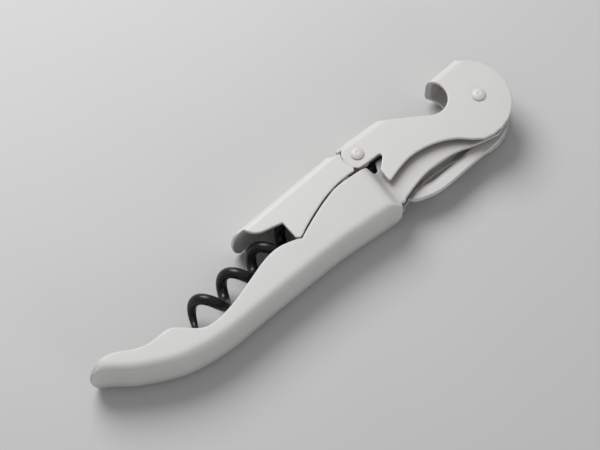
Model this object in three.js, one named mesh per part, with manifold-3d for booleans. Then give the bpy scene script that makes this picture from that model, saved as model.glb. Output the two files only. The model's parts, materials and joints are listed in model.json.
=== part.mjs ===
// Double-hinged lever corkscrew, folded shut and lying on its side.
// Millimetres. +X runs from the tail of the handle to its head, +Y points to the side that the
// lever opens to, and +Z up through the thickness. Everything is drawn about the middle plane
// of the thickness, with X measured from the tail, and moved to the part's origin at the end.
import * as THREE from 'three';
import { mergeVertices } from 'three/addons/utils/BufferGeometryUtils.js';
import Module from 'manifold-3d';

const wasm = await Module();
wasm.setup();

// ---- driving dimensions -------------------------------------------------------------------
const sheet = 1.0;             // thickness of the folded steel sheet
const bend = 2.0;              // outer radius of every fold
const handleHalf = 6.0;        // half of the overall thickness, at the handle and the boot lever
const leverHalf = 4.9;         // half thickness over the cheeks of the upper lever
const neckHalf = 2.9;          // half thickness over the neck of the handle and the link ears
const neckGap = neckHalf - sheet;
const outside = 24;            // a distance from the axis of the part that clears every piece
const beyondHead = 145;        // and an X that lies past the head

const leverPivot = new THREE.Vector2(117.05, 6.35);
const linkPivot = new THREE.Vector2(83.4, 10.5);
const wormPivot = new THREE.Vector2(92.5, 7.6);
const springPivot = new THREE.Vector2(89.0, -0.8);

const leverShaft = 1.15;       // radii of the rivets and pins
const linkShaft = 1.0;
const wormShaft = 1.1;
const springShaft = 0.8;
const running = 0.1;           // clearance between a pin and its hole, or a washer and a cheek
const springSeatHalf = neckHalf - 0.35;  // the spring's pin ends in two blind seats

const shoulderX = 81.0;        // the handle's cheeks start to curve inwards here
const neckX = 85.6;            // and reach the neck's narrower spacing here
const spineEndX = 84.6;

const wireRadius = 1.35;
const coilRadius = 2.75;       // from the worm's axis to the middle of the wire
const coilPitch = 9.62;
const coilSlope = THREE.MathUtils.degToRad(9);

// ---- materials ----------------------------------------------------------------------------
const whitePaint = (shade) => new THREE.MeshStandardMaterial(
  { color: new THREE.Color(shade, shade, shade * 0.99), roughness: 0.5, metalness: 0.0 });
const bareSteel = () => new THREE.MeshStandardMaterial(
  { color: new THREE.Color(0.58, 0.58, 0.57), roughness: 0.32, metalness: 1.0 });
const blackCoating = () => new THREE.MeshStandardMaterial(
  { color: new THREE.Color(0.025, 0.025, 0.025), roughness: 0.38, metalness: 0.0 });

// ---- solids -------------------------------------------------------------------------------
function toSolid(geometry) {
  const bare = geometry.index ? geometry.toNonIndexed() : geometry.clone();
  bare.deleteAttribute('normal');
  bare.deleteAttribute('uv');
  const merged = mergeVertices(bare, 1e-4);
  return new wasm.Manifold(new wasm.Mesh({
    numProp: 3,
    vertProperties: Float32Array.from(merged.attributes.position.array),
    triVerts: Uint32Array.from(merged.index.array),
  }));
}

function toGeometry(solid) {
  const mesh = solid.getMesh();
  const geometry = new THREE.BufferGeometry();
  geometry.setAttribute('position', new THREE.BufferAttribute(mesh.vertProperties, 3));
  geometry.setIndex(new THREE.BufferAttribute(mesh.triVerts, 1));
  geometry.computeVertexNormals();
  return geometry;
}

const union = (...solids) => solids.reduce((all, one) => all.add(one));
const overlap = (...solids) => solids.reduce((all, one) => all.intersect(one));

// A plan outline given thickness from z = low to z = high.
function plate(shape, low, high, curveSegments = 6) {
  const geometry = new THREE.ExtrudeGeometry(
    shape, { depth: high - low, bevelEnabled: false, curveSegments });
  return toSolid(geometry.translate(0, 0, low));
}

// A side outline, drawn in X and Z, running right through the part along Y.
function sideProfile(shape) {
  const geometry = new THREE.ExtrudeGeometry(
    shape, { depth: 2 * outside, bevelEnabled: false, curveSegments: 6 });
  return toSolid(geometry.rotateX(Math.PI / 2).translate(0, outside, 0));
}

// The filled block inside a fold: its plan outline shrinks by `inset`, and the edges along
// both faces are rounded by `radius`.
function roundedBlock(shape, half, radius, inset) {
  const geometry = new THREE.ExtrudeGeometry(shape, {
    depth: 2 * (half - radius), bevelThickness: radius, bevelSize: radius,
    bevelOffset: -radius - inset, bevelSegments: 5, curveSegments: 6,
  });
  return toSolid(geometry.translate(0, 0, radius - half));
}

// A channel folded from sheet: the outer block less the inner one. The part of the outline
// that is the fold is true, and the rest lies well outside the cheeks and is cut away later.
function foldedChannel(shape, half) {
  const outer = roundedBlock(shape, half, bend, 0);
  const inner = roundedBlock(shape, half - sheet, bend - sheet, sheet);
  return { outer, inner };
}

function disc(centre, radius, low, high, sides = 32) {
  const geometry = new THREE.CylinderGeometry(radius, radius, high - low, sides);
  geometry.rotateX(Math.PI / 2).translate(centre.x, centre.y, (low + high) / 2);
  return toSolid(geometry);
}

const bore = (centre, radius) => disc(centre, radius + running, -outside, outside, 24);
const tube = (centre, outer, inner, low, high) =>
  disc(centre, outer, low, high).subtract(bore(centre, inner));

// The same solid once above the middle plane and once, mirrored, below it.
const bothSides = (solid) => solid.add(solid.mirror([0, 0, 1]));

const at = (x, y) => new THREE.Vector2(x, y);
const polar = (centre, radius, degrees) => at(
  centre.x + radius * Math.cos(THREE.MathUtils.degToRad(degrees)),
  centre.y + radius * Math.sin(THREE.MathUtils.degToRad(degrees)));

// Adds an arc about a centre, in degrees, to a path.
function arc(path, centre, radius, from, to) {
  path.absarc(centre.x, centre.y, radius,
    THREE.MathUtils.degToRad(from), THREE.MathUtils.degToRad(to), to < from);
}

function polygon(points) {
  return new THREE.Shape(points);
}

// ---- handle -------------------------------------------------------------------------------
const handleTip = at(0.2, 0.5);
const tailRadius = 4.0;                  // how far the tail's rounding reaches, seen from the side
const bellyNotch = at(59.4, -0.45);      // where the tip of the boot lever nests
const bellyCorner = at(83.1, 6.05);
const gripEdge = [                       // from the tail to the notch: two finger hollows
  at(1.6, 1.0), at(5.5, 1.55), at(8.5, 0.7), at(12, -0.95), at(15.5, -1.65), at(20.8, -1.25),
  at(23.4, -2.55), at(27, -5.3), at(30.3, -6.05), at(36, -4.95), at(43, -2.3), at(49, 0.1),
  at(53.5, 0.9), at(57.8, 0.2), bellyNotch];
const seatEdge = [                       // from the notch to the head, where the boot lever lies
  at(61.5, 0.7), at(65, 2.45), at(70, 4.6), at(75, 5.95), bellyCorner];
const spineCurve = [                     // from the head to the tail
  at(75, -6.7), at(65, -7.0), at(45, -9.0), at(31, -10.5), at(20, -9.6), at(10, -5.7),
  at(4.5, -2.2), at(0.5, 0.0), at(-4, 2.2)];
const neckUpperEdge = [                  // from the worm's pivot to the head
  at(97.5, 8.0), at(102, 6.1), at(106.4, 5.4), at(109.8, 6.6)];
const neckLowerEdge = [                  // from the head back to the shoulder
  at(119.0, -1.9), at(116.0, -4.0), at(112.7, -3.9), at(108.3, -3.2), at(105, -2.4),
  at(102, -2.03), at(98.6, -2.05), at(94.5, -2.45), at(90.3, -3.65), at(86.6, -5.0)];
const wormBossRadius = 3.3;              // the cheeks' round ends over the two pivots
const headBossRadius = 6.2;

// The fold of the handle in plan: its curved spine, with the open side far outside the cheeks.
function handleFold() {
  const shape = new THREE.Shape();
  shape.moveTo(beyondHead, -6.6);
  shape.lineTo(spineEndX, -6.6);
  shape.splineThru(spineCurve);
  shape.lineTo(-outside, outside);
  shape.lineTo(beyondHead, outside);
  return shape;
}

// Both cheeks of the handle and its neck, in one outline.
function handleCheek() {
  const shape = new THREE.Shape();
  shape.moveTo(handleTip.x, handleTip.y);
  shape.splineThru(gripEdge);
  shape.splineThru(seatEdge);
  shape.lineTo(83.9, 4.2);
  shape.lineTo(85.3, 4.6);
  shape.lineTo(86.3, 6.9);
  arc(shape, wormPivot, wormBossRadius, 188, 30);
  shape.splineThru(neckUpperEdge);
  arc(shape, leverPivot, headBossRadius, 160, -53);
  shape.splineThru(neckLowerEdge);
  shape.lineTo(spineEndX, -7.2);
  shape.lineTo(spineEndX, -outside);
  shape.lineTo(-outside, -outside);
  shape.lineTo(-outside, handleTip.y);
  return shape;
}

// The handle seen from the side: a rounded tail, and cheeks that curve in to the neck. The
// inner faces lie one sheet thickness inside the outer ones.
function handleSide(inset) {
  const half = handleHalf - inset;
  const neck = neckHalf - inset;
  const endX = handleTip.x + inset;
  const endRadius = tailRadius - inset;
  const lag = 0.4;                       // keeps the sheet's thickness through the curves
  const from = shoulderX - inset * lag;
  const to = neckX - inset * lag;
  const middle = (from + to) / 2;
  const shape = new THREE.Shape();
  shape.moveTo(endX + endRadius, -half);
  shape.lineTo(from, -half);
  shape.bezierCurveTo(middle, -half, middle, -neck, to, -neck);
  shape.lineTo(beyondHead, -neck);
  shape.lineTo(beyondHead, neck);
  shape.lineTo(to, neck);
  shape.bezierCurveTo(middle, neck, middle, half, from, half);
  shape.lineTo(endX + endRadius, half);
  shape.absellipse(
    endX + endRadius, 0, endRadius, half, Math.PI / 2, Math.PI * 3 / 2, false);
  return sideProfile(shape);
}

// Waste beyond the rounded end of the spine, between the shoulders.
function spineEndWaste() {
  const corner = 3.2;
  const start = spineEndX - corner;
  const past = spineEndX + corner;
  const edge = handleHalf + 1;
  const foldStart = -5.6;                // below this the cheeks turn into the spine
  const shape = new THREE.Shape();
  shape.moveTo(start, -edge);
  shape.lineTo(past, -edge);
  shape.lineTo(past, edge);
  shape.lineTo(start, edge);
  shape.lineTo(start, handleHalf);
  shape.absarc(start, handleHalf - corner, corner, Math.PI / 2, 0, true);
  shape.absarc(start, corner - handleHalf, corner, 0, -Math.PI / 2, true);
  shape.lineTo(start, -edge);
  const belowCheeks = polygon([
    at(start, -outside), at(past, -outside), at(past, foldStart), at(start, foldStart)]);
  return overlap(sideProfile(shape), plate(belowCheeks, -outside, outside));
}

function handleBody() {
  const fold = foldedChannel(handleFold(), handleHalf);
  const neckSpace = plate(
    polygon([at(spineEndX, -outside), at(beyondHead, -outside), at(beyondHead, outside),
      at(spineEndX, outside)]),
    -handleHalf, handleHalf);
  const filled = overlap(
    fold.outer, plate(handleCheek(), -handleHalf, handleHalf), handleSide(0));
  const hollow = overlap(
    fold.inner.add(neckSpace), handleSide(sheet));
  const springSeats = disc(
    springPivot, springShaft + running, -springSeatHalf, springSeatHalf, 24);
  return filled.subtract(hollow).subtract(spineEndWaste())
    .subtract(bore(leverPivot, leverShaft)).subtract(bore(wormPivot, wormShaft))
    .subtract(springSeats);
}

// ---- upper lever, with the bottle opener ----------------------------------------------------
const throat = at(106.62, 12.79);        // centre of the hook's throat
const throatRadius = 4.75;
const leverHead = at(113.71, 7.05);
const leverHeadRadius = 11.28;
const leverEndRadius = 3.8;              // round end over the link pivot
const leverFold = [at(82.5, 15.05), at(92.8, 15.6), at(110.6, 17.05), at(118.9, 18.15)];
const mouthX = 92.3;                     // the fold is open from here to the hook's lip
const lipAngle = 62;                     // where the lip ends, about the throat
const stopTongue = 2.2;                  // the spine runs on past the round end, as a stop
const leverLowerEdge = [                 // from the corner beside the shoulder to the head
  at(90, 1.75), at(93.6, 2.6), at(97.2, 2.6), at(100.5, 2.05), at(103.5, 1.05),
  at(106, -0.3), at(108.5, -2.3), polar(leverHead, leverHeadRadius, -104)];

// A fold along a line of points, carried on past both ends, with its open side far below.
function foldAlong(points) {
  const [first, second] = points;
  const [nextToLast, last] = points.slice(-2);
  const before = first.clone().multiplyScalar(2).sub(second);
  const after = last.clone().multiplyScalar(2).sub(nextToLast);
  return polygon([
    before, ...points.slice(1, -1), after,
    at(after.x, -2 * outside), at(before.x, -2 * outside)]);
}

// The lever's cheek, from the fold at its round end, round the head and back by the hook.
function upperLeverCheek() {
  const start = leverFold[0];
  const end = leverFold[leverFold.length - 1];
  const shape = new THREE.Shape();
  shape.moveTo(start.x, outside);
  shape.lineTo(start.x, start.y - 0.3);
  arc(shape, linkPivot, leverEndRadius, 114, 245);
  shape.lineTo(87.4, 7.45);
  shape.quadraticCurveTo(88.5, 7.4, 87.9, 6.3);
  shape.lineTo(85.5, 3.8);
  shape.lineTo(85.5, 0.8);
  shape.quadraticCurveTo(85.6, 0.1, 86.4, 0.43);
  shape.splineThru(leverLowerEdge);
  arc(shape, leverHead, leverHeadRadius, -104, 62.5);
  shape.lineTo(end.x, outside);
  shape.lineTo(polar(throat, throatRadius, lipAngle).x, outside);
  arc(shape, throat, throatRadius, lipAngle, -121);
  shape.lineTo(94.0, 14.3);
  shape.quadraticCurveTo(mouthX + 0.3, 15.1, mouthX, 16.6);
  shape.lineTo(mouthX, outside);
  return shape;
}

function upperLever() {
  const fold = foldedChannel(foldAlong(leverFold), leverHalf);
  const tongueX = leverFold[0].x - stopTongue;
  const rootX = leverFold[0].x + bend;
  const tongue = polygon([
    at(tongueX, linkPivot.y), at(rootX, linkPivot.y), at(rootX, outside), at(tongueX, outside)]);
  const outline = union(
    plate(upperLeverCheek(), -leverHalf, leverHalf), plate(tongue, -neckHalf, neckHalf));
  return overlap(fold.outer, outline).subtract(fold.inner)
    .subtract(bore(leverPivot, leverShaft)).subtract(bore(linkPivot, linkShaft));
}

// ---- boot lever -----------------------------------------------------------------------------
const bootFold = [at(49.5, 10.5), at(77.0, 14.1)];
const bootTongue = 3.4;                  // how far the spine runs past the cheeks
const wall = leverEndRadius + 0.3;       // the wall around the round end, with its gap
const wallFrom = 166;                    // the wall's reach about the link pivot, in degrees
const wallTo = 216;
const earRadius = 3.2;
const bootLowerEdge = [                  // along the seam with the handle, to the nested tip
  at(75, 6.4), at(70, 5.05), at(65, 2.9), at(61.5, 1.12), at(60.2, 0.3), at(59.2, -0.05)];

// The boot's cheek, from its fold at the link end, along the seam and back round the mouth.
function bootCheek() {
  const [start, end] = bootFold;
  const corner = polar(linkPivot, wall, 152);
  const shape = new THREE.Shape();
  shape.moveTo(end.x, outside);
  shape.lineTo(end.x, end.y - 0.9);
  shape.lineTo(corner.x, corner.y);
  arc(shape, linkPivot, wall, 152, 220);
  shape.lineTo(79.9, 6.85);
  shape.splineThru(bootLowerEdge);
  shape.lineTo(58.35, 0.55);
  shape.lineTo(58.0, 5.55);
  shape.lineTo(53.2, 6.3);
  shape.quadraticCurveTo(50.6, 6.7, start.x, 9.4);
  shape.lineTo(start.x - 2 * bootTongue, 8.6);
  shape.lineTo(start.x - 2 * bootTongue, outside);
  return shape;
}

// The end of the boot seen along Y: the spine ends in a round tongue.
function bootSide() {
  const start = bootFold[0].x;
  const shape = new THREE.Shape();
  shape.moveTo(start, -handleHalf);
  shape.lineTo(beyondHead, -handleHalf);
  shape.lineTo(beyondHead, handleHalf);
  shape.lineTo(start, handleHalf);
  shape.absellipse(start, 0, bootTongue, handleHalf, Math.PI / 2, Math.PI * 3 / 2, false);
  return sideProfile(shape);
}

// The cheeks step in to narrower ears, with a curved wall that clears the lever's round end.
function bootLever() {
  const fold = foldedChannel(foldAlong(bootFold), handleHalf);
  const outline = plate(bootCheek(), -handleHalf, handleHalf);
  const shell = overlap(fold.outer, outline, bootSide()).subtract(fold.inner);
  const ring = new THREE.Shape();
  arc(ring, linkPivot, wall + sheet, wallFrom, wallTo);
  arc(ring, linkPivot, wall, wallTo, wallFrom);
  const step = overlap(plate(ring, neckGap, handleHalf, 12), outline, fold.outer);
  const bar = polygon([
    polar(linkPivot, earRadius, wallFrom - 50), polar(linkPivot, wall + sheet / 2, wallFrom),
    polar(linkPivot, wall + sheet / 2, wallTo), polar(linkPivot, earRadius, wallTo + 50)]);
  const ear = union(disc(linkPivot, earRadius, neckGap, neckHalf), plate(bar, neckGap, neckHalf));
  return shell.add(bothSides(union(step, ear))).subtract(bore(linkPivot, linkShaft));
}

// ---- worm -----------------------------------------------------------------------------------
const shankLength = 15;                  // from the pivot to the first of the coil
const leadIn = 5;                        // the wire opens out from the axis over this length
const wormLength = 68.6;
const coilPhase = 165;                   // turns the coil so that its crests lie as they should
const shankOffset = -2.28;               // the pivot lies this far beside the coil's axis
const tipLength = 5.0;
const eyeRadius = 2.9;                   // the wire's flattened end, round its pin
const eyeHalf = 1.3;

// The middle of the worm's wire, from the pivot to just short of the point.
class WormWire extends THREE.Curve {
  getPoint(t, target = new THREE.Vector3()) {
    const along = t * (wormLength - tipLength * 0.4);
    const open = THREE.MathUtils.smoothstep(along, shankLength, shankLength + leadIn);
    const aside = shankOffset * (1 - THREE.MathUtils.smoothstep(along, 0, shankLength + leadIn));
    const turn = THREE.MathUtils.degToRad(coilPhase) - 2 * Math.PI * along / coilPitch;
    return target.set(
      -along, aside + open * coilRadius * Math.cos(turn), open * coilRadius * Math.sin(turn));
  }
}

function worm() {
  const wire = new WormWire();
  const section = new THREE.Shape();
  section.absarc(0, 0, wireRadius, 0, 2 * Math.PI, false);
  const sweep = toSolid(new THREE.ExtrudeGeometry(
    section, { steps: 120, curveSegments: 5, extrudePath: wire }));
  const end = wire.getPoint(1);
  const sunk = 0.4;                      // the point starts this far inside the wire
  const point = new THREE.ConeGeometry(wireRadius, tipLength, 10, 1);
  point.translate(0, tipLength / 2 - sunk, 0);
  point.applyQuaternion(new THREE.Quaternion().setFromUnitVectors(
    new THREE.Vector3(0, 1, 0), wire.getTangent(1)));
  point.translate(end.x, end.y, end.z);
  const eye = at(0, shankOffset);
  return union(sweep, toSolid(point), disc(eye, eyeRadius, -eyeHalf, eyeHalf))
    .subtract(bore(eye, wormShaft));
}

// ---- knife ----------------------------------------------------------------------------------
const bladeHalf = 0.8;
const bladeTip = at(87.5, -4.5);
const tangRadius = 5.6;
const bladeBack = [                      // from the tip to the heel
  at(88.6, -5.6), at(90.2, -6.35), at(94.5, -7.2), at(99, -7.0), at(104, -6.3),
  at(109.5, -5.6), at(114.5, -4.95), at(116.4, -4.35), at(117.9, -3.75)];
const cuttingEdge = [                    // from the heel to the tip, hollowed in the middle
  at(105.2, -3.05), at(102, -3.5), at(98, -3.95), at(95.3, -4.2), at(92.6, -3.7),
  at(90.3, -3.5), bladeTip];

function knifeBlade() {
  const shape = new THREE.Shape();
  shape.moveTo(bladeTip.x, bladeTip.y);
  shape.splineThru(bladeBack);
  shape.lineTo(121.6, 0.6);
  arc(shape, leverPivot, tangRadius, -30, 190);
  shape.lineTo(109.6, -1.6);
  shape.quadraticCurveTo(109.4, -2.5, 108.2, -2.7);
  shape.splineThru(cuttingEdge);
  return plate(shape, -bladeHalf, bladeHalf).subtract(bore(leverPivot, leverShaft));
}

// A leaf of spring steel between the neck's cheeks. One end curls round its pin and the
// other bears on the knife's tang.
function knifeSpring() {
  const leaf = [at(89.6, -2.3), at(94, -1.9), at(99, -1.9), at(104.5, -1.6), at(109.2, -0.3)];
  const thick = 0.8;
  const eye = 1.7;
  const shape = new THREE.Shape();
  shape.moveTo(leaf[0].x, leaf[0].y);
  shape.splineThru(leaf.slice(1));
  const back = [...leaf].reverse().map((point) => at(point.x - 0.1, point.y + thick));
  shape.lineTo(back[0].x, back[0].y);
  shape.splineThru(back.slice(1));
  const half = neckGap - 0.3;
  return union(plate(shape, -half, half, 4), disc(springPivot, eye, -half, half, 24))
    .subtract(bore(springPivot, springShaft));
}

// ---- rivets, pins, washers ------------------------------------------------------------------
const headGap = 0.1;                     // under a rivet's head
const headHeight = 0.7;
const wormPinDome = 0.35;                // height of the rounded ends of the worm's pin

// A rivet with a domed head at both ends, just inside the thickness of the handle.
function domedRivet(centre, shaft, headRadius) {
  const under = leverHalf + headGap;
  const rise = headHeight;
  const profile = [at(0, -under - rise)];
  const roundness = 0.94;                // less than 1 leaves a small upright rim
  const dome = (side) => [0.55, 0.85, 1.0].map((share) => at(
    headRadius * share, side * (under + rise * Math.sqrt(1 - share * share * roundness))));
  profile.push(...dome(-1), at(headRadius, -under), at(shaft, -under), at(shaft, under),
    at(headRadius, under), ...dome(1).reverse(), at(0, under + rise));
  const geometry = new THREE.LatheGeometry(profile, 28);
  return toSolid(geometry.rotateX(Math.PI / 2).translate(centre.x, centre.y, 0));
}

function wormPin() {
  const end = (side) => [
    at(0, side * (neckHalf + wormPinDome)),
    at(wormShaft * 0.7, side * (neckHalf + wormPinDome * 0.7)),
    at(wormShaft, side * neckHalf)];
  const geometry = new THREE.LatheGeometry([...end(-1), ...end(1).reverse()], 24);
  return toSolid(geometry.rotateX(Math.PI / 2).translate(wormPivot.x, wormPivot.y, 0));
}

const cheekWasher = (centre, radius, shaft) => tube(
  centre, radius, shaft, neckHalf + running, leverHalf - sheet - running);
const spacer = (centre, radius, shaft, inner) => tube(
  centre, radius, shaft, inner + running, neckGap - running);

// ---- assembly -------------------------------------------------------------------------------
const part = new THREE.Group();

function add(name, solid, material) {
  const mesh = new THREE.Mesh(toGeometry(solid), material);
  mesh.name = name;
  part.add(mesh);
  return mesh;
}

// One piece above the middle plane and its mirror image below, as two nodes.
function addPair(name, solid, material) {
  add(`${name}_upper`, solid, material());
  add(`${name}_lower`, solid.mirror([0, 0, 1]), material());
}

add('handle_body', handleBody(), whitePaint(0.82));
add('upper_lever', upperLever(), whitePaint(0.83));
add('boot_lever', bootLever(), whitePaint(0.83));
add('knife_blade', knifeBlade(), whitePaint(0.8));
const wormMesh = add('worm', worm(), blackCoating());
wormMesh.rotation.z = coilSlope;
wormMesh.position.set(
  wormPivot.x + shankOffset * Math.sin(coilSlope),
  wormPivot.y - shankOffset * Math.cos(coilSlope), 0);
add('lever_rivet', domedRivet(leverPivot, leverShaft, 1.68), whitePaint(0.84));
add('link_rivet', domedRivet(linkPivot, linkShaft, 1.64), whitePaint(0.84));
add('worm_pin', wormPin(), bareSteel());
const springPinHalf = springSeatHalf - 0.1;
add('spring_pin', disc(springPivot, springShaft, -springPinHalf, springPinHalf, 20), bareSteel());
add('knife_spring', knifeSpring(), bareSteel());
addPair('lever_washer', cheekWasher(leverPivot, 3.4, leverShaft), bareSteel);
addPair('link_washer', cheekWasher(linkPivot, 2.6, linkShaft), bareSteel);
addPair('worm_spacer', spacer(wormPivot, 2.4, wormShaft, eyeHalf), bareSteel);
addPair('knife_bush', spacer(leverPivot, 2.6, leverShaft, bladeHalf), bareSteel);

// The origin is the middle of the underside, so that the part stands on the plane z = 0.
const bounds = new THREE.Box3().setFromObject(part);
const middle = bounds.getCenter(new THREE.Vector3());
part.position.set(-middle.x, -middle.y, -bounds.min.z);
part.updateMatrixWorld(true);

export default part;
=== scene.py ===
"""Looks of a double-hinged lever corkscrew, folded shut and lying on its side.

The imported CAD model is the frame. Every visible piece is rebuilt here as a fine mesh that replaces
its CAD node and rides on the same body. Lengths are in metres, and sizes that are easier to read in
millimetres are multiplied by MM.
"""

import json
import math

import bmesh
import bpy
import numpy as np
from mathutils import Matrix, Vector


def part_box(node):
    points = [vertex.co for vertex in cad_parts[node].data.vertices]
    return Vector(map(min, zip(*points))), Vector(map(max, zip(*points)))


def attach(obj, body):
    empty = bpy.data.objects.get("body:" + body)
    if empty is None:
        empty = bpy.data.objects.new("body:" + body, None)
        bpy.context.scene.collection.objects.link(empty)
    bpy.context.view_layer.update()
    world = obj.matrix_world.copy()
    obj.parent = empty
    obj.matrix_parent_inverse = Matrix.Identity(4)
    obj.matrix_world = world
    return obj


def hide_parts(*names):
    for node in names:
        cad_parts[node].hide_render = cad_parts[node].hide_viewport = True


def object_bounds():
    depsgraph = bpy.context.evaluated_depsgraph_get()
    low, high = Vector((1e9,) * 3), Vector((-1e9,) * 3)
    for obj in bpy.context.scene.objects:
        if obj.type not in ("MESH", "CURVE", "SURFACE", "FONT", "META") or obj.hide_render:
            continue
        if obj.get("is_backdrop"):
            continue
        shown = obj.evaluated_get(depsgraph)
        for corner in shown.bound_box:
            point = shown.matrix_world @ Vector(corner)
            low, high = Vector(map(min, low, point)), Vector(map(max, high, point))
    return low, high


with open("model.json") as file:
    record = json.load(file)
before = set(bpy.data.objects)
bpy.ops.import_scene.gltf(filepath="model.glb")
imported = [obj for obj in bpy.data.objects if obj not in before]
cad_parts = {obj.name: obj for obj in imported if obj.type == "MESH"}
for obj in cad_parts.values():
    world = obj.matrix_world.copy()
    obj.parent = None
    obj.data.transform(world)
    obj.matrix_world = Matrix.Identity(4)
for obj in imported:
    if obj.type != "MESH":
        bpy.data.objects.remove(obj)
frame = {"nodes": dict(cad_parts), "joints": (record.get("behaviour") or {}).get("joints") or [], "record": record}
cad_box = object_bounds()

MM = 0.001
RUNNING = 0.1 * MM               # clearance between a pin and its hole
SHAFT = {"lever": 1.15 * MM, "link": 1.0 * MM, "worm": 1.1 * MM}   # radii of rivets and pins
PIVOTS = {joint["name"]: Vector(joint["pos_m"]) for joint in frame["joints"]}
BODY_OF = {
    node: body
    for body, nodes in frame["record"]["behaviour"]["bodies"].items()
    for node in nodes
}
SLOT_OF = {part["node"]: part["material_slot"] for part in frame["record"]["subparts"]}
MIDDLE = sum((Vector(corner) for corner in cad_box), Vector()) / 2


# ---- materials --------------------------------------------------------------------------------
class Nodes:
    """A short way to write a material's node tree."""

    def __init__(self, name):
        self.material = bpy.data.materials.new(name)
        self.material.use_nodes = True
        self.tree = self.material.node_tree
        self.shader = self.tree.nodes["Principled BSDF"]
        self.place = self.tree.nodes.new("ShaderNodeTexCoord").outputs["Object"]

    def add(self, kind, **values):
        """A node with its plain properties and the values of its inputs set."""
        node = self.tree.nodes.new(kind)
        for key, value in values.items():
            label = key.replace("_", " ").title()
            if label in node.inputs:
                self.feed(node.inputs[label], value)
            else:
                setattr(node, key, value)
        return node

    def feed(self, socket, value):
        """Links an output to a socket, or sets the socket's plain value."""
        if isinstance(value, bpy.types.NodeSocket):
            self.tree.links.new(value, socket)
        else:
            socket.default_value = value

    def noise(self, size, detail=3.0, roughness=0.5, stretch=(1, 1, 1)):
        """Noise from 0 to 1 whose features are about `size` metres across."""
        mapping = self.add("ShaderNodeMapping", vector=self.place, scale=stretch)
        node = self.add(
            "ShaderNodeTexNoise", vector=mapping.outputs[0], scale=1 / size, detail=detail,
            roughness=roughness)
        return node.outputs["Fac"]

    def ramp(self, value, low, high, start=0.0, end=1.0):
        """Takes value from low..high to start..end, held at both ends."""
        node = self.add(
            "ShaderNodeMapRange", value=value, from_min=low, from_max=high, to_min=start,
            to_max=end)
        return node.outputs["Result"]

    def combine(self, operation, one, other):
        node = self.add("ShaderNodeMath", operation=operation)
        self.feed(node.inputs[0], one)
        self.feed(node.inputs[1], other)
        return node.outputs[0]

    def times(self, one, other):
        return self.combine("MULTIPLY", one, other)

    def plus(self, one, other):
        return self.combine("ADD", one, other)

    def blend(self, share, one, other):
        """A colour between two others."""
        node = self.tree.nodes.new("ShaderNodeMix")
        node.data_type = "RGBA"
        self.feed(node.inputs["Factor"], share)
        self.feed(node.inputs[6], one)
        self.feed(node.inputs[7], other)
        return node.outputs[2]

    def edges(self, low, high):
        """1 on the sharpest outward edges and 0 on flat and hollow surfaces."""
        pointiness = self.tree.nodes.new("ShaderNodeNewGeometry").outputs["Pointiness"]
        return self.ramp(pointiness, low, high)

    def bump(self, height, distance):
        node = self.add("ShaderNodeBump", height=height, distance=distance, strength=1.0)
        self.feed(self.shader.inputs["Normal"], node.outputs["Normal"])

    def set(self, name, value):
        self.feed(self.shader.inputs[name], value)


def grey(level, warmth=0.0):
    """A grey, with a little more red and less blue when it is warm."""
    return (level * (1 + warmth), level, level * (1 - warmth), 1.0)


def white_paint(name, level, recess_shade):
    """Satin powder coat on steel: a fine orange peel, faint clouding, and thin, greyer edges.

    Narrow recesses are darkened to a share of the paint's brightness given by the last argument: painted shade,
    for the light that reaches them less.
    """
    nodes = Nodes(name)
    cloud = nodes.noise(11 * MM, detail=4)
    speck = nodes.noise(0.35 * MM, detail=2)
    tone = nodes.plus(nodes.times(cloud, 0.75), nodes.times(speck, 0.25))
    base = nodes.blend(tone, grey(level * 0.96, 0.012), grey(level * 1.03, 0.006))
    patches = nodes.ramp(nodes.noise(1.6 * MM, detail=5, roughness=0.65), 0.5, 0.68)
    worn = nodes.times(nodes.edges(0.56, 0.64), patches)
    paint = nodes.blend(nodes.times(worn, 0.5), base, grey(level * 0.74, 0.02))
    # Painted shade: ambient occlusion darkens the paint's colour in creases and narrow recesses, such as the neck
    # beside the lever.
    open_sky = nodes.add("ShaderNodeAmbientOcclusion", samples=6, distance=5 * MM)
    painted_shade = nodes.ramp(open_sky.outputs["AO"], 0.6, 1.0, 1.0, 0.0)
    nodes.set("Base Color", nodes.blend(painted_shade, paint, grey(level * recess_shade, 0.02)))
    nodes.set("Roughness", nodes.ramp(tone, 0.3, 0.7, 0.36, 0.46))
    nodes.set("Specular IOR Level", 0.5)
    peel = nodes.noise(0.55 * MM, detail=1.5)
    grain = nodes.noise(0.12 * MM, detail=2)
    nodes.bump(nodes.plus(peel, nodes.times(grain, 0.35)), 0.006 * MM)
    return nodes.material


def black_coating():
    """Satin non-stick coating, with streaks of rubbed roughness all over."""
    nodes = Nodes("black_coating")
    cloud = nodes.noise(3.0 * MM, detail=4)
    rubs = nodes.noise(0.5 * MM, detail=4, stretch=(0.25, 1, 1))
    nodes.set("Base Color", nodes.blend(cloud, grey(0.008), grey(0.017)))
    tone = nodes.plus(nodes.times(cloud, 0.5), nodes.times(rubs, 0.5))
    nodes.set("Roughness", nodes.ramp(tone, 0.3, 0.7, 0.20, 0.36))
    nodes.set("Specular IOR Level", 0.38)
    nodes.bump(nodes.noise(0.18 * MM, detail=2), 0.004 * MM)
    return nodes.material


def plain_steel():
    """Bright steel with turning marks and a little dulling."""
    nodes = Nodes("plain_steel")
    cloud = nodes.noise(2.0 * MM, detail=3)
    marks = nodes.noise(0.5 * MM, detail=3, stretch=(0.3, 0.3, 8))
    nodes.set("Base Color", nodes.blend(cloud, grey(0.50, 0.01), grey(0.60, 0.01)))
    nodes.set("Metallic", 1.0)
    nodes.set("Roughness", nodes.ramp(marks, 0.3, 0.7, 0.26, 0.42))
    nodes.bump(marks, 0.003 * MM)
    return nodes.material


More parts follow.
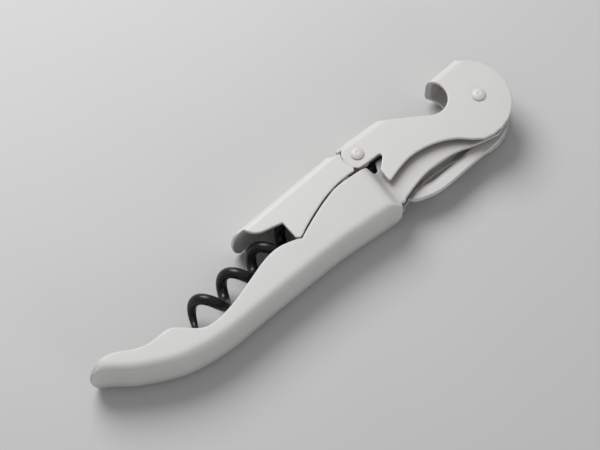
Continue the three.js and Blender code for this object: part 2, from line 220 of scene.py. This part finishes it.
def floor_paper():
    """Pale matt paper."""
    nodes = Nodes("floor_paper")
    cloud = nodes.noise(60 * MM, detail=3)
    nodes.set("Base Color", nodes.blend(cloud, grey(0.585, 0.004), grey(0.615, 0.004)))
    nodes.set("Roughness", 0.85)
    nodes.bump(nodes.noise(1.2 * MM, detail=4), 0.01 * MM)
    return nodes.material


MATERIALS = {
    "white_paint": white_paint("white_paint", level=0.655, recess_shade=0.95),
    "black_coating": black_coating(),
    "steel": plain_steel(),
}


# ---- mesh tools -------------------------------------------------------------------------------
def new_piece(name, vertices, faces):
    mesh = bpy.data.meshes.new(name)
    mesh.from_pydata([tuple(point) for point in vertices], [], faces)
    mesh.update()
    piece = bpy.data.objects.new(name, mesh)
    bpy.context.scene.collection.objects.link(piece)
    return piece


def replace_mesh(piece):
    """Makes what the modifiers give the piece's own mesh."""
    graph = bpy.context.evaluated_depsgraph_get()
    fine = bpy.data.meshes.new_from_object(piece.evaluated_get(graph))
    piece.modifiers.clear()
    piece.data = fine


def remesh(piece, voxel):
    """One closed skin of even quads over everything in the piece."""
    modifier = piece.modifiers.new("remesh", "REMESH")
    modifier.mode = "VOXEL"
    modifier.voxel_size = voxel
    replace_mesh(piece)


def neighbour_means(mesh):
    """A function that gives each point the mean of its neighbours."""
    edges = np.empty(len(mesh.edges) * 2, dtype=np.int64)
    mesh.edges.foreach_get("vertices", edges)
    one, other = edges.reshape(-1, 2).T
    count = len(mesh.vertices)
    degree = np.bincount(one, minlength=count) + np.bincount(other, minlength=count)

    def means(points):
        total = np.empty_like(points)
        for axis in range(3):
            values = points[:, axis]
            total[:, axis] = (
                np.bincount(one, weights=values[other], minlength=count)
                + np.bincount(other, weights=values[one], minlength=count))
        return total / degree[:, None]

    return means


def get_points(mesh):
    points = np.empty(len(mesh.vertices) * 3)
    mesh.vertices.foreach_get("co", points)
    return points.reshape(-1, 3)


def set_points(mesh, points):
    mesh.vertices.foreach_set("co", points.ravel())
    mesh.update()


def relax(piece, rounds, shrink=0.55, swell=-0.58):
    """Rounds off edges and facets and keeps the volume, by shrinking and swelling in turn."""
    means = neighbour_means(piece.data)
    points = get_points(piece.data)
    for _ in range(rounds):
        for factor in (shrink, swell):
            points += factor * (means(points) - points)
    set_points(piece.data, points)


def thin_out(piece, ratio):
    """Drops triangles where the surface is flattest."""
    modifier = piece.modifiers.new("thin out", "DECIMATE")
    modifier.ratio = ratio
    replace_mesh(piece)


def keep_within(piece, low, high):
    """Holds every point inside a box."""
    points = get_points(piece.data)
    set_points(piece.data, np.clip(points, np.array(low), np.array(high)))


def finish_piece(piece, nodes, material=None):
    """Shading, material, and the piece's place in the frame."""
    for polygon in piece.data.polygons:
        polygon.use_smooth = True
    slot = SLOT_OF[nodes[0]]
    piece.data.materials.clear()
    piece.data.materials.append(material or MATERIALS[slot])
    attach(piece, BODY_OF[nodes[0]])
    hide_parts(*nodes)


# ---- sheet-metal pieces -----------------------------------------------------------------------
CHANNEL_ROUNDS = 36              # rounds of smoothing for the painted channels
FLAT_ROUNDS = 12                 # and for the knife and its spring, whose edges are crisper


def sheet_piece(node, name, voxel, rounds, ratio, material=None):
    """A sheet piece from its CAD node, with the edges and folds rounded as a coat of paint does.

    A finer `voxel` gives smaller quads, and `ratio` is the share of triangles that is kept.
    """
    piece = bpy.data.objects.new(name, frame["nodes"][node].data.copy())
    bpy.context.scene.collection.objects.link(piece)
    remesh(piece, voxel)
    relax(piece, rounds)
    keep_within(piece, *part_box(node))
    if ratio < 1:
        thin_out(piece, ratio)
    finish_piece(piece, [node], material)
    return piece


# The blade's cutting edge from heel to tip, in millimetres from the knife's pivot.
CUTTING_EDGE = [(-11.85, -9.40), (-15.05, -9.85), (-19.05, -10.30), (-21.75, -10.55),
                (-24.45, -10.05), (-26.75, -9.85), (-29.55, -10.85)]
BEVEL = 1.1 * MM                 # width of the ground band
EDGE_SHARE = 0.30                # thickness left at the very edge, of the blade's full thickness


def distance_to_line(points, line):
    """How far each point lies from a line of straight runs, in plan."""
    nearest = np.full(len(points), np.inf)
    for one, other in zip(line[:-1], line[1:]):
        run = other - one
        along = np.clip((points - one) @ run / (run @ run), 0, 1)
        nearest = np.minimum(nearest, np.linalg.norm(points - one - along[:, None] * run, axis=1))
    return nearest


def grind(piece):
    """Thins the blade towards its cutting edge."""
    pivot = PIVOTS["knife_swing"]
    line = np.array(CUTTING_EDGE) * MM + np.array(pivot[:2])
    points = get_points(piece.data)
    share = np.clip(distance_to_line(points[:, :2], line) / BEVEL, 0, 1)
    points[:, 2] = MIDDLE.z + (points[:, 2] - MIDDLE.z) * (EDGE_SHARE + (1 - EDGE_SHARE) * share)
    set_points(piece.data, points)


# ---- turned pieces ----------------------------------------------------------------------------
HEAD_GAP = 0.1 * MM              # under a rivet's head
HEAD_RIM = 0.2 * MM              # height of the upright rim below its dome
DOME_POWER = 2.6                 # 2 gives a rounded dome, and more a flatter one
DOME_STEPS = 24
DIMPLE_SHARE = 0.26              # radius of the punched dimple, as a share of the head's
DIMPLE_DEPTH = 0.16 * MM
SOFT_EDGE = 0.12 * MM            # how far the rounding of a turned edge reaches
PIN_ROUNDING = 0.3 * MM          # and of the ends of a plain pin
MERGE = 1e-7                     # points closer than this are one


def round_corners(profile, radius, steps=4, closed=False):
    """The profile with each inner corner replaced by a small curve."""
    most = 0.49                  # of a side, so that two curves never meet
    points = [Vector(point) for point in profile]
    last = len(points) - 1
    result = []
    for i, corner in enumerate(points):
        if not closed and i in (0, last):
            result.append(corner)
            continue
        before = points[i - 1] - corner
        after = points[(i + 1) % len(points)] - corner
        reach = min(radius, before.length * most, after.length * most)
        start = corner + before.normalized() * reach
        end = corner + after.normalized() * reach
        for step in range(steps + 1):
            t = step / steps
            result.append((1 - t) ** 2 * start + 2 * t * (1 - t) * corner + t ** 2 * end)
    return result


def turned(name, centre, profile, closed, sides=72):
    """A body turned about an axis along Z. The profile holds radius and height."""
    vertices = []
    for point in profile:
        for k in range(sides):
            angle = 2 * math.pi * k / sides
            vertices.append((
                centre.x + point[0] * math.cos(angle), centre.y + point[0] * math.sin(angle),
                point[1]))
    rows = len(profile) if closed else len(profile) - 1
    faces = []
    for row in range(rows):
        below = row * sides
        above = (row + 1) % len(profile) * sides
        for k in range(sides):
            beside = (k + 1) % sides
            faces.append((below + k, below + beside, above + beside, above + k))
    piece = new_piece(name, vertices, faces)
    tidy = bmesh.new()
    tidy.from_mesh(piece.data)
    bmesh.ops.remove_doubles(tidy, verts=tidy.verts, dist=MERGE)
    bmesh.ops.recalc_face_normals(tidy, faces=tidy.faces)
    tidy.to_mesh(piece.data)
    tidy.free()
    return piece


def middle_of(node):
    """The middle of a CAD node's box, and half of its size."""
    low, high = (Vector(corner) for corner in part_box(node))
    return (low + high) / 2, (high - low) / 2


def domed_rivet(node, name, shaft):
    """A painted rivet: a low dome at each end, with an upright rim and a small punched dimple."""
    centre, half = middle_of(node)
    head = half.x
    under = middle_of("upper_lever")[1].z + HEAD_GAP
    rim = under + HEAD_RIM
    rise = half.z - rim
    dome = []
    for step in range(DOME_STEPS + 1):
        share = step / DOME_STEPS
        height = rim + rise * (1 - share ** DOME_POWER)
        hollow = DIMPLE_DEPTH * math.exp(-2 * (share / DIMPLE_SHARE) ** 2)
        dome.append((share * head, height - hollow))
    profile = [(radius, centre.z + height) for radius, height in dome]
    profile += [(head, centre.z + under), (shaft, centre.z + under)]
    mirrored = [(radius, 2 * centre.z - height) for radius, height in reversed(profile)]
    piece = turned(name, centre, round_corners(profile + mirrored, SOFT_EDGE), closed=False)
    finish_piece(piece, [node])


def plain_pin(node, name, dome):
    """A headless pin with rounded ends. The dome drops by a quarter about halfway out."""
    centre, half = middle_of(node)
    top = centre.z + half.z
    bottom = centre.z - half.z
    inner = half.x * 0.55
    drop = dome * 0.25
    profile = [(0, top), (inner, top - drop), (half.x, top - dome),
               (half.x, bottom + dome), (inner, bottom + drop), (0, bottom)]
    rounded = round_corners(profile, PIN_ROUNDING)
    finish_piece(turned(name, centre, rounded, closed=False), [node])


def washer(node, name, hole):
    """A ring with softened edges that fills its CAD node's box."""
    centre, half = middle_of(node)
    top = centre.z + half.z
    bottom = centre.z - half.z
    profile = [(hole, bottom), (half.x, bottom), (half.x, top), (hole, top)]
    rounded = round_corners(profile, min(SOFT_EDGE, half.z * 0.6), closed=True)
    finish_piece(turned(name, centre, rounded, closed=True), [node])


# ---- worm -------------------------------------------------------------------------------------
WIRE = 1.35 * MM                 # radius of the wire
COIL = 2.75 * MM                 # from the worm's axis to the middle of the wire
PITCH = 9.62 * MM
PHASE = math.radians(165)        # turns the coil about its axis
SLOPE = math.radians(9)          # the worm's axis leans this much towards the handle's spine
SHANK = 15 * MM                  # from the pivot to the coil
LEAD_IN = 5 * MM                 # the wire opens out from the axis over this length
WORM_LENGTH = 68.6 * MM          # from the pivot to the point
SHANK_OFFSET = -2.28 * MM        # the pivot lies this far beside the coil's axis
WIRE_STEPS = 900
TAPER = 7.5 * MM                 # the wire narrows to its point over this length
POINT_SHARE = 0.12               # radius left at the very point, of the wire's
EYE_RADIUS = 2.9 * MM            # the wire's flattened end, round its pin
EYE_HALF = 1.3 * MM
EYE_ROUNDING = 0.7 * MM
WORM_VOXEL = 0.16 * MM
WORM_ROUNDS = 10


def smooth_step(value, low, high):
    """Rises smoothly from 0 at low to 1 at high."""
    t = np.clip((value - low) / (high - low), 0, 1)
    return t * t * (3 - 2 * t)


def worm_wire():
    """The middle of the wire from the pivot to the point, in the frame, with its radius."""
    along = np.linspace(0, WORM_LENGTH, WIRE_STEPS)
    opened = smooth_step(along, SHANK, SHANK + LEAD_IN)
    aside = SHANK_OFFSET * (1 - smooth_step(along, 0, SHANK + LEAD_IN))
    turn = PHASE - 2 * math.pi * along / PITCH
    across = aside + opened * COIL * np.cos(turn)
    up = opened * COIL * np.sin(turn)
    pivot = PIVOTS["worm_swing"]
    origin_x = pivot.x + SHANK_OFFSET * math.sin(SLOPE)
    origin_y = pivot.y - SHANK_OFFSET * math.cos(SLOPE)
    path = np.stack([
        origin_x - along * math.cos(SLOPE) - across * math.sin(SLOPE),
        origin_y - along * math.sin(SLOPE) + across * math.cos(SLOPE),
        MIDDLE.z + up], axis=1)
    left = np.clip((WORM_LENGTH - along) / TAPER, 0, 1)
    taper = np.sqrt(left) * (0.6 + 0.4 * left)
    radius = WIRE * (POINT_SHARE + (1 - POINT_SHARE) * taper)
    return path, radius


def swept_tube(name, path, radius, sides=20):
    """A closed round tube along a path, with a radius for each point."""
    ahead = np.gradient(path, axis=0)
    ahead /= np.linalg.norm(ahead, axis=1)[:, None]
    side = np.cross(ahead[0], (0.0, 0.0, 1.0))
    vertices = []
    for point, direction, size in zip(path, ahead, radius):
        side = side - direction * side.dot(direction)
        side /= np.linalg.norm(side)
        over = np.cross(direction, side)
        for k in range(sides):
            angle = 2 * math.pi * k / sides
            vertices.append(point + size * (side * math.cos(angle) + over * math.sin(angle)))
    faces = [tuple(range(sides))[::-1]]
    for row in range(len(path) - 1):
        for k in range(sides):
            beside = (k + 1) % sides
            below = row * sides
            faces.append((below + k, below + beside, below + sides + beside, below + sides + k))
    end = (len(path) - 1) * sides
    faces.append(tuple(range(end, end + sides)))
    return new_piece(name, vertices, faces)


def join(piece, other):
    """Adds another piece's mesh to a piece."""
    both = bmesh.new()
    both.from_mesh(piece.data)
    both.from_mesh(other.data)
    both.to_mesh(piece.data)
    both.free()
    bpy.data.objects.remove(other)


def drill(piece, centre, radius):
    """Cuts a round hole along Z, right through the object."""
    margin = 1 * MM
    low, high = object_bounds()
    bottom = low[2] - margin
    top = high[2] + margin
    profile = [(0, bottom), (radius, bottom), (radius, top), (0, top)]
    cutter = turned("drill", centre, profile, closed=False, sides=64)
    cut = piece.modifiers.new("drill", "BOOLEAN")
    cut.operation = "DIFFERENCE"
    cut.object = cutter
    replace_mesh(piece)
    bpy.data.objects.remove(cutter)


def worm():
    """The coiled wire with its flattened eye, in one skin."""
    path, radius = worm_wire()
    piece = swept_tube("worm_fine", path, radius)
    pivot = PIVOTS["worm_swing"]
    top = MIDDLE.z + EYE_HALF
    bottom = MIDDLE.z - EYE_HALF
    profile = [(0, top), (EYE_RADIUS, top), (EYE_RADIUS, bottom), (0, bottom)]
    rounded = round_corners(profile, EYE_ROUNDING, steps=6)
    join(piece, turned("eye", pivot, rounded, closed=False))
    remesh(piece, WORM_VOXEL)
    relax(piece, WORM_ROUNDS)
    drill(piece, pivot, SHAFT["worm"] + RUNNING)
    finish_piece(piece, ["worm"])


# ---- the object -------------------------------------------------------------------------------
# The handle's paint gets a deep painted shade in its recesses, which darkens the neck under the lever.
handle_paint = white_paint("white_paint_handle", level=0.63, recess_shade=0.58)
sheet_piece("handle_body", "handle_fine", voxel=0.22 * MM, rounds=CHANNEL_ROUNDS, ratio=0.4,
            material=handle_paint)
sheet_piece("upper_lever", "upper_lever_fine", voxel=0.19 * MM, rounds=CHANNEL_ROUNDS, ratio=0.5)
sheet_piece("boot_lever", "boot_lever_fine", voxel=0.19 * MM, rounds=CHANNEL_ROUNDS, ratio=0.5)
blade = sheet_piece(
    "knife_blade", "knife_blade_fine", voxel=0.15 * MM, rounds=FLAT_ROUNDS, ratio=1.0)
grind(blade)
sheet_piece("knife_spring", "knife_spring_fine", voxel=0.14 * MM, rounds=FLAT_ROUNDS, ratio=0.6)
worm()
domed_rivet("lever_rivet", "lever_rivet_fine", SHAFT["lever"])
domed_rivet("link_rivet", "link_rivet_fine", SHAFT["link"])
plain_pin("worm_pin", "worm_pin_fine", dome=0.35 * MM)
plain_pin("spring_pin", "spring_pin_fine", dome=0.2 * MM)
WASHERS = {"lever_washer": "lever", "link_washer": "link", "worm_spacer": "worm",
           "knife_bush": "lever"}
for stem, shaft in WASHERS.items():
    for side in ("upper", "lower"):
        washer(f"{stem}_{side}", f"{stem}_{side}_fine", SHAFT[shaft] + RUNNING)


# ---- stage ------------------------------------------------------------------------------------
LOOK = Vector((0.5821, 0.8131, 0))       # the way the camera looks, along the floor
RIGHT = Vector((0.8131, -0.5821, 0))     # to the right of the picture
FLOOR_HALF = 1.6                         # half of the floor's side
VIEW_HEIGHT = 64                         # degrees above the floor
VIEW_DISTANCE = 0.48                     # from the camera to the target
VIEW_TARGET = Vector((0.000092, 0.001124, 0.006))
LENS = 120.96                            # millimetres, on a sensor 36 wide
ROOM_LIGHT = 0.31                        # strength of the even light from all around


def floor():
    corners = [(-1, -1), (1, -1), (1, 1), (-1, 1)]
    vertices = [(x * FLOOR_HALF, y * FLOOR_HALF, 0) for x, y in corners]
    piece = new_piece("floor", vertices, [(0, 1, 2, 3)])
    piece.data.materials.append(floor_paper())
    piece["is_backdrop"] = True


def raised(heading, degrees):
    """A direction along the floor, lifted by an angle."""
    height = math.radians(degrees)
    return heading * math.cos(height) + Vector((0, 0, math.sin(height)))


def aim(thing, place, target):
    """Puts a camera or a lamp in its place, pointed at the target."""
    thing.location = place
    thing.rotation_euler = (target - place).to_track_quat("-Z", "Y").to_euler()


def camera():
    data = bpy.data.cameras.new("camera")
    data.sensor_width = 36
    data.lens = LENS
    data.clip_start = 0.01
    thing = bpy.data.objects.new("camera", data)
    bpy.context.scene.collection.objects.link(thing)
    aim(thing, VIEW_TARGET + raised(-LOOK, VIEW_HEIGHT) * VIEW_DISTANCE, VIEW_TARGET)
    bpy.context.scene.camera = thing


def lamp(name, heading, height, distance, size, power):
    """A round lamp that points at the origin from `height` degrees above the floor."""
    data = bpy.data.lights.new(name, "AREA")
    data.shape = "DISK"
    data.size = size
    data.energy = power
    thing = bpy.data.objects.new(name, data)
    bpy.context.scene.collection.objects.link(thing)
    aim(thing, raised(heading.normalized(), height) * distance, Vector((0, 0, 0)))


def lights():
    """A broad soft lamp behind and to the left, a weak low one in front, and a pale room."""
    behind_left = LOOK * 0.84 - RIGHT * 0.55
    lamp("key", behind_left, height=50, distance=0.42, size=0.30, power=1.49)
    front_right = RIGHT * 0.6 - LOOK * 0.8
    lamp("fill", front_right, height=14, distance=0.6, size=0.30, power=0.50)
    world = bpy.data.worlds.new("room")
    world.use_nodes = True
    background = world.node_tree.nodes["Background"]
    background.inputs["Color"].default_value = (1, 1, 1, 1)
    background.inputs["Strength"].default_value = ROOM_LIGHT
    bpy.context.scene.world = world
    bpy.context.scene.view_settings.view_transform = "Standard"


floor()
camera()
lights()
